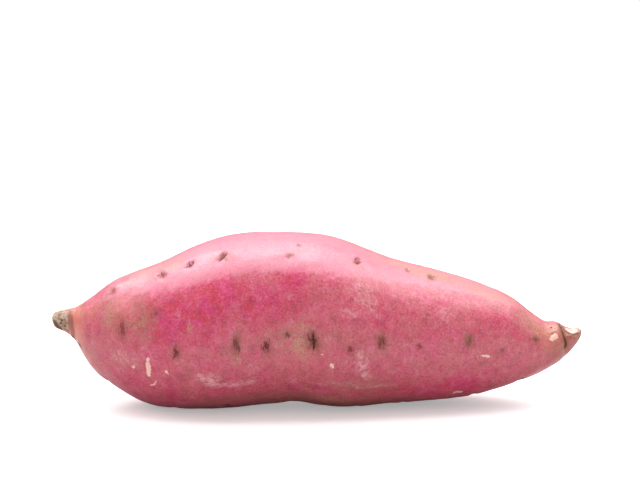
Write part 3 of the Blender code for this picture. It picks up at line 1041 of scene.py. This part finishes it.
@dataclass(frozen=True)
class SkinFinish:
    """The root's skin, with its eyes, tan and bare places, its corky ends, and a painted highlight band over its top.
    """

    pink: Colour = (0.60, 0.064, 0.130)
    magenta: Colour = (0.62, 0.018, 0.130)
    red: Colour = (0.58, 0.014, 0.060)
    crimson: Colour = (0.33, 0.010, 0.034)
    rose: Colour = (0.55, 0.090, 0.115)
    shade: Colour = (0.62, 0.45, 0.52)
    # Pale mottle, freckles and streaks, and also the colour of the painted highlight on top.
    pale_and_highlight: Colour = (0.69, 0.22, 0.32)
    chalk: Colour = (0.80, 0.45, 0.44)
    tan: Colour = (0.42, 0.155, 0.095)
    straw: Colour = (0.55, 0.26, 0.165)
    grey: Colour = (0.30, 0.165, 0.13)
    earth: Colour = (0.42, 0.105, 0.080)
    earth_dark: Colour = (0.20, 0.055, 0.036)
    fleck: Colour = (0.35, 0.150, 0.095)
    dirt: Colour = (0.27, 0.100, 0.060)
    salmon: Colour = (0.66, 0.17, 0.12)
    rust: Colour = (0.32, 0.080, 0.040)
    cork: Colour = (0.54, 0.40, 0.32)
    cork_brown: Colour = (0.34, 0.20, 0.135)
    # Dark cork, which is also the colour of the painted shade in the knob's holes and the tail's fold.
    cork_dark_and_shade: Colour = (0.120, 0.052, 0.034)
    flesh: Colour = (0.92, 0.56, 0.46)
    slit_brown: Colour = (0.090, 0.028, 0.016)
    slit_red: Colour = (0.24, 0.032, 0.026)
    roughness: float = 0.35
    matt: float = 0.72
    index: float = 1.5
    gloss: float = 0.8
    matt_gloss: float = 0.2

    def skin_colour(self, bench: NodeBench) -> bpy.types.NodeSocket:
        """The plain skin: pink to magenta, mottled, freckled and streaked, with a pale painted highlight band over the
        top.

        Args:
            bench: where the nodes are made.

        Returns:
            The colour's socket.
        """
        place = bench.object_place((1, 1, 1))
        cloud = bench.math("SUBTRACT", bench.noise(place, 8.0, 3.0), 0.5)
        mottle = bench.math("SUBTRACT", bench.noise(place, 0.9, 2.0, 0.6), 0.5)
        deep = bench.math("MULTIPLY_ADD", cloud, 2.0, bench.field(Tint.MAGENTA.value))
        deep = bench.math("MULTIPLY_ADD", mottle, 1.1, deep)
        blush = bench.noise(bench.object_place((1, 1, 1), 71), 5.0, 4.0, 0.6)
        vivid = bench.mix(bench.rise(blush, 0.44, 0.58), self.magenta, self.red)
        dusky = bench.mix(bench.rise(blush, 0.60, 0.46), self.pink, self.rose)
        colour = bench.mix(bench.rise(deep, 0.05, 0.95), dusky, vivid)

        tone = bench.noise(bench.object_place((1, 1, 1), 23), 3.6, 5.0, 0.7)
        colour = bench.mix(bench.rise(tone, 0.50, 0.32, 0.75), colour, self.shade, "MULTIPLY")
        colour = bench.mix(bench.rise(tone, 0.50, 0.72, 0.50), colour, self.pale_and_highlight)
        dots = bench.noise(bench.object_place((1, 1, 1), 31), 0.8, 2.5, 0.65)
        colour = bench.mix(bench.rise(dots, 0.50, 0.68, 0.66), colour, self.crimson)
        hairs = bench.noise(bench.object_place((1.5, 0.4, 0.4), 45), 0.7, 1.0)
        colour = bench.mix(bench.rise(hairs, 0.56, 0.70, 0.30), colour, self.crimson)
        specks = bench.noise(bench.object_place((1, 1, 1), 57), 0.75, 2.5, 0.65)
        # Thicker freckles where that field is strong; along the top they are partly painted highlight.
        freckle_and_highlight_share = bench.math("MULTIPLY_ADD", bench.field(Tint.BLOOM.value), 0.62, 0.24)
        colour = bench.mix(bench.math("MULTIPLY", bench.rise(specks, 0.49, 0.68), freckle_and_highlight_share), colour, self.pale_and_highlight)
        # Painted highlight: the pale tint over the top band, broken up by the tone noise.
        painted_highlight = bench.math("MULTIPLY_ADD", bench.math("SUBTRACT", tone, 0.5), 1.2, bench.field(Tint.PAINTED_HIGHLIGHT.value))
        colour = bench.mix(bench.rise(painted_highlight, 0.25, 0.80, 0.42), colour, self.pale_and_highlight)
        streaks = bench.noise(bench.object_place((0.18, 1, 1), 13), 0.5, 2.0)
        return bench.mix(bench.rise(streaks, 0.55, 0.75, 0.20), colour, self.pale_and_highlight)

    def weathered_colour(self, bench: NodeBench, colour: Any) -> bpy.types.NodeSocket:
        """The skin with its earthy, orange, scuffed, tan and smudged places.

        Args:
            bench: where the nodes are made.
            colour: the plain skin.

        Returns:
            The colour's socket.
        """
        place = bench.object_place((1, 1, 1), 83)
        rough_edge = bench.math("SUBTRACT", bench.noise(place, 2.4, 4.0, 0.6), 0.5)
        fine_edge = bench.math("SUBTRACT", bench.noise(place, 0.6, 2.0, 0.6), 0.5)
        ragged = bench.math("MULTIPLY_ADD", fine_edge, 0.8, rough_edge)

        def cover(tint: Tint, low: float, high: float, raggedness: float, top: float) -> bpy.types.NodeSocket:
            """How much one tint covers, with a ragged edge."""
            field = bench.field(tint.value)
            edged = bench.math("MULTIPLY_ADD", ragged, raggedness, field)
            return bench.math("MULTIPLY", bench.rise(edged, low, high, top), bench.rise(field, 0.02, 0.2))

        fibres = bench.noise(bench.object_place((0.22, 1, 1), 91), 0.55, 2.0, 0.6)
        soil = bench.mix(bench.rise(fibres, 0.48, 0.62), self.earth, self.earth_dark)
        colour = bench.mix(cover(Tint.EARTH, 0.1, 1.1, 0.5, 0.85), colour, soil)
        colour = bench.mix(cover(Tint.SALMON, 0.1, 1.0, 0.5, 0.8), colour, self.salmon)
        brushed = bench.noise(bench.object_place((0.6, 1.6, 0.5), 7), 0.9, 2.0, 0.6)
        scuffed = bench.math("MULTIPLY", cover(Tint.SCUFF, 0.10, 1.05, 0.7, 0.72), bench.rise(brushed, 0.30, 0.66))
        colour = bench.mix(scuffed, colour, self.chalk)
        scales = bench.mix(bench.rise(fine_edge, -0.12, 0.14), self.tan, self.straw)
        colour = bench.mix(cover(Tint.TAN, 0.2, 0.85, 1.1, 0.8), colour, scales)
        strewn = bench.field(Tint.FLECK.value)
        crumbs = bench.noise(bench.object_place((1, 1, 1), 101), 0.9, 3.0, 0.65)
        flecks = bench.rise(bench.math("MULTIPLY_ADD", strewn, 0.16, crumbs), 0.62, 0.74, 0.62)
        colour = bench.mix(bench.math("MULTIPLY", flecks, bench.rise(strewn, 0.02, 0.3)), colour, self.fleck)
        colour = bench.mix(cover(Tint.SMUDGE, 0.15, 0.9, 1.0, 0.7), colour, self.grey)
        return bench.mix(cover(Tint.RUST, 0.2, 0.8, 0.7, 0.95), colour, self.rust)

    def eye_cover(self, bench: NodeBench) -> tuple[Any, Any, Any]:
        """How much the slits and the halos of the eyes cover.

        Args:
            bench: where the nodes are made.

        Returns:
            The slits' cover, the halos' cover, and the slits' redness.
        """
        u, v, seed = bench.three("eye_place")
        dark, halo, rust = bench.three("eye_look")
        place = bench.object_place((1, 1, 1), 19)
        edge = bench.math("SUBTRACT", bench.noise(place, 0.45, 2.0, 0.6), 0.5)
        patchy = bench.math("SUBTRACT", bench.noise(place, 1.5, 3.0, 0.6), 0.5)
        sway = bench.math("SUBTRACT", bench.noise(bench.joined(bench.math("MULTIPLY", seed, 41.0), v, 0.0), 0.9, 1.0), 0.5)
        u = bench.math("MULTIPLY_ADD", sway, 1.7, u)
        threads = bench.joined(
            bench.math("MULTIPLY_ADD", seed, 23.0, bench.math("MULTIPLY", u, 1.5)), bench.math("MULTIPLY", v, 0.6), 3.0
        )
        threads = bench.math("SUBTRACT", bench.noise(threads, 0.75, 2.0, 0.6), 0.5)
        beside = bench.math("MULTIPLY", u, 0.62)
        away = bench.math("SQRT", bench.math("ADD", bench.math("MULTIPLY", beside, beside), bench.math("MULTIPLY", v, v)))
        middle = bench.math("MULTIPLY", bench.rise(away, 1.25, 0.0), 0.62)
        ragged = bench.math("MULTIPLY_ADD", threads, 2.0, middle)
        ragged = bench.math("MULTIPLY_ADD", edge, 1.3, ragged)
        slit = bench.math("MULTIPLY", bench.rise(ragged, 0.30, 0.60), bench.rise(away, 1.7, 1.0))
        slit = bench.math("MULTIPLY", slit, dark)
        ring = bench.math("MULTIPLY_ADD", patchy, 2.2, bench.math("MULTIPLY_ADD", edge, 1.0, away))
        return slit, bench.math("MULTIPLY", bench.rise(ring, 1.8, 0.3), halo), rust

    def material(self) -> bpy.types.Material:
        """The finished material."""
        made = bpy.data.materials.new("root_skin")
        bench = NodeBench(made)
        colour = self.weathered_colour(bench, self.skin_colour(bench))
        slit, halo, rust = self.eye_cover(bench)
        colour = bench.mix(bench.math("MULTIPLY", halo, 0.62), colour, self.dirt)
        colour = bench.mix(bench.math("MULTIPLY", slit, 1.15, clamp=True), colour, bench.mix(rust, self.slit_brown, self.slit_red))

        place = bench.object_place((1, 1, 1), 5)
        crumbs = bench.noise(place, 0.7, 3.0, 0.65)
        fine = bench.math("SUBTRACT", crumbs, 0.5)
        flesh = bench.rise(bench.math("MULTIPLY_ADD", fine, 1.3, bench.field(Tint.FLESH.value)), 0.40, 0.62)
        colour = bench.mix(bench.math("MULTIPLY", flesh, 0.95), colour, self.flesh)
        corky = bench.rise(bench.math("MULTIPLY_ADD", fine, 0.8, bench.field(Tint.CORK.value)), 0.4, 0.6)
        crust = bench.noise(bench.object_place((0.7, 1, 1), 67), 1.7, 3.0, 0.6)
        cork = bench.mix(bench.rise(crust, 0.58, 0.42), self.cork, self.cork_brown)
        cork = bench.mix(bench.rise(crust, 0.36, 0.28), cork, self.cork_dark_and_shade)
        colour = bench.mix(corky, colour, cork)
        # Dark marks, and painted shade in the knob's holes and along the fold behind the tail's hook.
        dark_and_shade = bench.rise(bench.math("MULTIPLY_ADD", fine, 0.6, bench.field(Tint.DARK_AND_SHADE.value)), 0.35, 0.75)
        colour = bench.mix(bench.math("MULTIPLY", dark_and_shade, 0.9), colour, self.cork_dark_and_shade)

        shader = bench.node("BsdfPrincipled")
        bench.feed(shader.inputs["Base Color"], colour)
        shader.inputs["IOR"].default_value = self.index
        grain = bench.noise(bench.object_place((0.7, 1, 1), 3), 0.42, 2.0, 0.6)
        dull = bench.math("MAXIMUM", bench.math("MAXIMUM", corky, slit), bench.math("MULTIPLY", halo, 0.6))
        dull = bench.math("MAXIMUM", dull, bench.math("MAXIMUM", dark_and_shade, bench.math("MULTIPLY", flesh, 0.5)))
        bench.feed(shader.inputs["Specular IOR Level"], bench.blend(dull, self.gloss, self.matt_gloss))
        satin = bench.math("MULTIPLY_ADD", grain, 0.16, self.roughness - 0.08)
        bench.feed(shader.inputs["Roughness"], bench.blend(dull, satin, self.matt))

        height = bench.math("MULTIPLY_ADD", grain, 0.5, bench.math("MULTIPLY", bench.noise(bench.object_place((0.25, 1, 1), 9), 0.7, 2.0), 0.4))
        height = bench.math("MULTIPLY_ADD", slit, -1.6, height)
        height = bench.math("MULTIPLY_ADD", flesh, -0.8, height)
        height = bench.math("ADD", height, bench.math("MULTIPLY", corky, bench.math("MULTIPLY", crust, 5.0)))
        bump = bench.node("Bump")
        bump.inputs["Distance"].default_value = 0.1 * MM
        bump.inputs["Strength"].default_value = 0.8
        bench.feed(bump.inputs["Height"], height)
        bench.feed(shader.inputs["Normal"], bump.outputs[0])
        output = bench.node("OutputMaterial")
        bench.feed(output.inputs["Surface"], shader.outputs[0])
        return made


@dataclass
class Root:
    """The root itself: one closed mesh that stands for the CAD node."""

    form: RootForm
    finish: SkinFinish
    low: np.ndarray
    high: np.ndarray
    rings: int = 414
    points_round: int = 240
    eye_reach: float = 2.2

    def shaped_ball(self) -> bpy.types.Object:
        """A ball with as many rings and points as the root has."""
        bpy.ops.object.select_all(action="DESELECT")
        bpy.ops.mesh.primitive_uv_sphere_add(segments=self.points_round, ring_count=self.rings + 1, radius=1.0)
        ball = bpy.context.object
        ball.name = "sweet_potato_root"
        ball.data.name = "sweet_potato_root"
        return ball

    def grid(self, mesh: bpy.types.Mesh) -> tuple[np.ndarray, np.ndarray, np.ndarray]:
        """Which ring and which point of it each vertex of the ball is.

        Args:
            mesh: the ball's mesh.

        Returns:
            Ring numbers from the knob (-1 and the last plus one are the poles), point numbers, and
            whether each vertex is a pole.
        """
        places = np.empty(len(mesh.vertices) * 3, dtype=np.float32)
        mesh.vertices.foreach_get("co", places)
        x, y, z = places.reshape(-1, 3).astype(float).T
        polar = np.arccos(np.clip(z, -1, 1)) / math.pi * (self.rings + 1)
        ring = self.rings - np.rint(polar).astype(int)
        turn = math.pi - np.arctan2(y, x)
        point = np.rint(turn / FULL_TURN * self.points_round).astype(int) % self.points_round
        pole = np.hypot(x, y) < 1e-6
        return ring, point, pole

    def placed(self, rings: np.ndarray, ends: np.ndarray) -> tuple[np.ndarray, np.ndarray]:
        """The same points with the CAD node's length, middle and ground.

        Args:
            rings: points of all rings.
            ends: the two end points.

        Returns:
            Both, moved and stretched along X.
        """
        everything = np.concatenate([rings.reshape(-1, 3), ends])
        low, high = everything.min(axis=0), everything.max(axis=0)
        stretch = np.array([(self.high[0] - self.low[0]) / (high[0] - low[0]), 1, 1])
        origin = np.array([(low[0] + high[0]) / 2, (low[1] + high[1]) / 2, low[2] + self.form.flat_depth])
        middle = np.array([(self.low[0] + self.high[0]) / 2, (self.low[1] + self.high[1]) / 2, 0])
        moved = (everything - origin) * stretch + middle
        return moved[: -len(ends)].reshape(rings.shape), moved[-len(ends) :]

    def tint_fields(self, shares: np.ndarray, angles: np.ndarray, radii: np.ndarray) -> dict[str, np.ndarray]:
        """How strongly each tint lies on every point.

        Args:
            shares: places of the rings along the length, one row each.
            angles: places of the points round the root in radians, one column each.
            radii: the local half height.

        Returns:
            One array for each tint's name.
        """
        shape = np.broadcast(shares, angles).shape
        fields = {tint.value: np.zeros(shape) for tint in Tint}
        for patch in PATCHES:
            lie = Mark(patch.share, patch.angle, patch.around, patch.along, 0, patch.tilt)
            across, lengthwise = lie.lie(shares, angles, radii, self.form.length)
            away = np.hypot(across / (patch.along / 2), lengthwise / (patch.around / 2))
            fall = plateau(away / 1.1) if patch.tint in (Tint.FLESH, Tint.DARK_AND_SHADE) else bell(away)
            fields[patch.tint.value] = np.maximum(fields[patch.tint.value], patch.strength * fall)
        for stroke in STROKES:
            fall = plateau(stroke.away(shares, angles, radii, self.form.length) / 1.1)
            fields[stroke.tint.value] = np.maximum(fields[stroke.tint.value], stroke.strength * fall)
        # The painted highlight: a pale band over the top, from its lower edge up to 125 degrees, fading out near the
        # ends.
        lower = np.tanh((angles - np.radians(smooth_through(PAINTED_HIGHLIGHT_EDGE, shares))) / math.radians(5))
        upper = np.tanh((math.radians(125) - angles) / math.radians(14))
        fields[Tint.PAINTED_HIGHLIGHT.value] = (1 + lower) * (1 + upper) / 4 * plateau((shares - 0.5) / 0.42)
        rim = 0.0345 + 0.0025 * np.cos(angles - 0.6) + 0.0015 * np.cos(3 * angles)
        fields[Tint.CORK.value] = np.broadcast_to(plateau(shares / rim), shape).copy()
        return fields

    def eye_fields(self, shares: np.ndarray, angles: np.ndarray, radii: np.ndarray) -> dict[str, np.ndarray]:
        """Where each point lies in the frame of its nearest eye, and how that eye looks.

        Args:
            shares: places of the rings along the length, one row each.
            angles: places of the points round the root in radians, one column each.
            radii: the local half height.

        Returns:
            The vector fields eye_place and eye_look.
        """
        shape = np.broadcast(shares, angles).shape
        nearest = np.full(shape, np.inf)
        place = np.zeros((*shape, 3))
        look = np.zeros((*shape, 3))
        for number, each in enumerate((*FRONT_EYES, *self.form.hidden_eyes())):
            across, lengthwise = each.lie(shares, angles, radii, self.form.length)
            u = across / (each.width / 2)
            v = lengthwise / (each.length / 2)
            away = np.hypot(u * 0.6, v)
            closer = away < nearest
            nearest = np.where(closer, away, nearest)
            seed = (number * 0.618034) % 1
            place[closer] = np.stack([u, v, np.full(shape, seed)], axis=-1)[closer]
            strength = np.clip((self.eye_reach - away) / 0.6, 0, 1)
            wash = strength[..., None] * np.array([each.dark, each.halo, 0]) + np.array([0, 0, each.rust])
            look[closer] = wash[closer]
        return {"eye_place": place, "eye_look": look}

    def write_fields(self, mesh: bpy.types.Mesh, fields: dict[str, np.ndarray], where: tuple[np.ndarray, ...]) -> None:
        """Writes fields onto the mesh's vertices.

        Args:
            mesh: the mesh.
            fields: arrays of rings by points, or of rings by points by three.
            where: ring number and point number of each vertex.
        """
        ring, point = where
        for name, values in fields.items():
            taken = values[np.clip(ring, 0, self.rings - 1), point].astype(np.float32)
            kind, part = ("FLOAT", "value") if values.ndim == 2 else ("FLOAT_VECTOR", "vector")
            layer = mesh.attributes.new(name, kind, "POINT")
            layer.data.foreach_set(part, taken.ravel())

    def stand_on_ground(self, root: bpy.types.Object) -> None:
        """Presses what lies below the ground up to it, which makes the flat spots."""
        bpy.ops.object.mode_set(mode="EDIT")
        bpy.ops.mesh.select_all(action="DESELECT")
        bpy.ops.object.mode_set(mode="OBJECT")
        heights = np.empty(len(root.data.vertices) * 3, dtype=np.float32)
        root.data.vertices.foreach_get("co", heights)
        root.data.vertices.foreach_set("select", heights[2::3] < 0)
        bpy.ops.object.mode_set(mode="EDIT")
        bpy.ops.transform.resize(value=(1, 1, 0), center_override=(0, 0, 0))
        bpy.ops.object.mode_set(mode="OBJECT")

    def build(self) -> bpy.types.Object:
        """Returns:
            The root's object.
        """
        root = self.shaped_ball()
        mesh = root.data
        ring, point, pole = self.grid(mesh)
        shares = self.form.ring_shares(self.rings)[:, None]
        angles = np.linspace(0, FULL_TURN, self.points_round, endpoint=False)[None, :]
        surface, ends = self.placed(*self.form.surface(shares, angles))
        places = surface[np.clip(ring, 0, self.rings - 1), point]
        places[pole & (ring < 0)] = ends[0]
        places[pole & (ring >= self.rings)] = ends[1]
        mesh.vertices.foreach_set("co", places.astype(np.float32).ravel())
        mesh.update()

        radii = self.form.half_height(shares) * self.form.section_scale(shares)
        self.write_fields(mesh, self.tint_fields(shares, angles, radii), (ring, point))
        self.write_fields(mesh, self.eye_fields(shares, angles, radii), (ring, point))
        self.stand_on_ground(root)
        bpy.ops.object.shade_smooth()
        mesh.materials.append(self.finish.material())
        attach(root, BODY)
        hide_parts(NODE)
        LOG.info("%s: %d vertices, %d faces", root.name, len(mesh.vertices), len(mesh.polygons))
        return root


@dataclass(frozen=True)
class FloorFinish:
    """Plain white floor, which throws back less light than it shows."""

    white: Colour = (0.92, 0.92, 0.92)
    bounced: Colour = (0.60, 0.60, 0.60)
    lift: float = 0.34
    roughness: float = 0.6

    def material(self) -> bpy.types.Material:
        """The finished material."""
        made = bpy.data.materials.new("floor_white")
        bench = NodeBench(made)
        shader = bench.node("BsdfPrincipled")
        seen = bench.node("LightPath").outputs["Is Camera Ray"]
        bench.feed(shader.inputs["Base Color"], bench.mix(seen, self.bounced, self.white))
        shader.inputs["Roughness"].default_value = self.roughness
        shader.inputs["Specular IOR Level"].default_value = 0.0
        shader.inputs["Emission Color"].default_value = (1.0, 1.0, 1.0, 1.0)
        bench.feed(shader.inputs["Emission Strength"], bench.math("MULTIPLY", seen, self.lift))
        bench.feed(bench.node("OutputMaterial").inputs["Surface"], shader.outputs[0])
        return made


@dataclass
class Studio:
    """The floor, the soft lights and the camera."""

    floor_side: float = 2.4
    floor_drop: float = 0.02 * MM
    backdrop_strength: float = 1.04
    front_strength: float = 0.72
    rear_strength: float = 1.1
    horizon_strength: float = 0.25
    softbox_radiance: float = 2.4
    lamp_radiance: float = 6.0
    lens: float = 85.0
    sensor: float = 36.0
    camera_distance: float = 543 * MM
    camera_height: float = 31 * MM
    camera_aside: float = 1.1 * MM
    elevation: float = math.radians(12)
    pitch: float = math.radians(9)

    def floor(self) -> bpy.types.Object:
        """The floor that the root lies on."""
        bpy.ops.object.select_all(action="DESELECT")
        bpy.ops.mesh.primitive_plane_add(size=self.floor_side, location=(0, 0, -self.floor_drop))
        floor = bpy.context.object
        floor.name = "floor"
        bpy.ops.object.transform_apply(location=True, rotation=True, scale=True)
        floor.data.materials.append(FloorFinish().material())
        LOG.info("floor: %.1f m wide", self.floor_side)
        return floor

    def softbox(
        self, name: str, place: tuple[float, float, float], aim: tuple[float, float, float],
        size: tuple[float, float], radiance: float,
    ) -> bpy.types.Object:
        """One large soft light.

        Args:
            name: the light's name.
            place: its middle.
            aim: the point it faces.
            size: its width and depth.
            radiance: how bright its face is.

        Returns:
            The light's object.
        """
        light = bpy.data.lights.new(name, "AREA")
        light.shape = "RECTANGLE"
        light.size, light.size_y = size
        light.energy = radiance * math.pi * size[0] * size[1]
        made = bpy.data.objects.new(name, light)
        made.location = place
        away = np.array(place) - np.array(aim)
        flat = math.hypot(away[0], away[1])
        made.rotation_euler = (math.atan2(flat, away[2]), 0, math.atan2(away[0], -away[1]) if flat > 1e-9 else 0)
        bpy.context.scene.collection.objects.link(made)
        LOG.info("%s: %.1f x %.1f m", name, *size)
        return made

    def lights(self) -> None:
        """The white surroundings and the softboxes."""
        world = bpy.data.worlds.new("studio")
        bench = NodeBench(world)
        background = bench.node("Background")
        background.inputs["Color"].default_value = (1.0, 1.0, 1.0, 1.0)
        direction = bench.node("SeparateXYZ")
        bench.feed(direction.inputs[0], bench.node("TexCoord").outputs["Generated"])
        rear = bench.rise(direction.outputs["Y"], -0.3, 0.6)
        behind = bench.blend(bench.rise(direction.outputs["Z"], 0.12, 0.35), self.horizon_strength, self.rear_strength)
        around = bench.blend(rear, self.front_strength, behind)
        seen = bench.node("LightPath").outputs["Is Camera Ray"]
        strength = bench.blend(seen, around, self.backdrop_strength)
        bench.feed(background.inputs["Strength"], strength)
        bench.feed(bench.node("OutputWorld").inputs["Surface"], background.outputs[0])
        bpy.context.scene.world = world
        self.softbox("overhead_softbox", (0.0, 0.34, 1.2), (0.0, 0.34, 0.0), (2.6, 1.52), self.softbox_radiance)
        self.softbox("left_lamp", (-0.66, 0.75, 1.10), (-0.04, 0.0, 0.04), (0.34, 0.34), self.lamp_radiance)
        self.softbox("top_lamp", (0.05, 0.35, 1.15), (0.0, 0.0, 0.04), (0.50, 0.22), self.lamp_radiance)

    def camera(self) -> bpy.types.Object:
        """The camera, at the photograph's viewing angle."""
        data = bpy.data.cameras.new("camera")
        data.lens = self.lens
        data.sensor_width = self.sensor
        data.sensor_fit = "HORIZONTAL"
        data.clip_start = 0.01
        made = bpy.data.objects.new("camera", data)
        made.location = (
            self.camera_aside,
            -self.camera_distance * math.cos(self.elevation),
            self.camera_height + self.camera_distance * math.sin(self.elevation),
        )
        made.rotation_euler = (math.pi / 2 - self.pitch, 0, 0)
        bpy.context.scene.collection.objects.link(made)
        bpy.context.scene.camera = made
        return made

    def build(self) -> None:
        """Sets up the whole studio."""
        self.floor()
        self.lights()
        self.camera()
        view = bpy.context.scene.view_settings
        view.view_transform = "Standard"
        view.look = "None"


def main() -> None:
    """Loads the frame, then builds the root and the studio round it."""
    logging.basicConfig(level=logging.INFO, format="%(name)s: %(message)s")
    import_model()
    low, high = (np.array(corner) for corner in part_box(NODE))
    form = RootForm(length=float(high[0] - low[0]))
    Root(form, SkinFinish(), low, high).build()
    Studio().build()


if __name__ == "__main__":
    main()
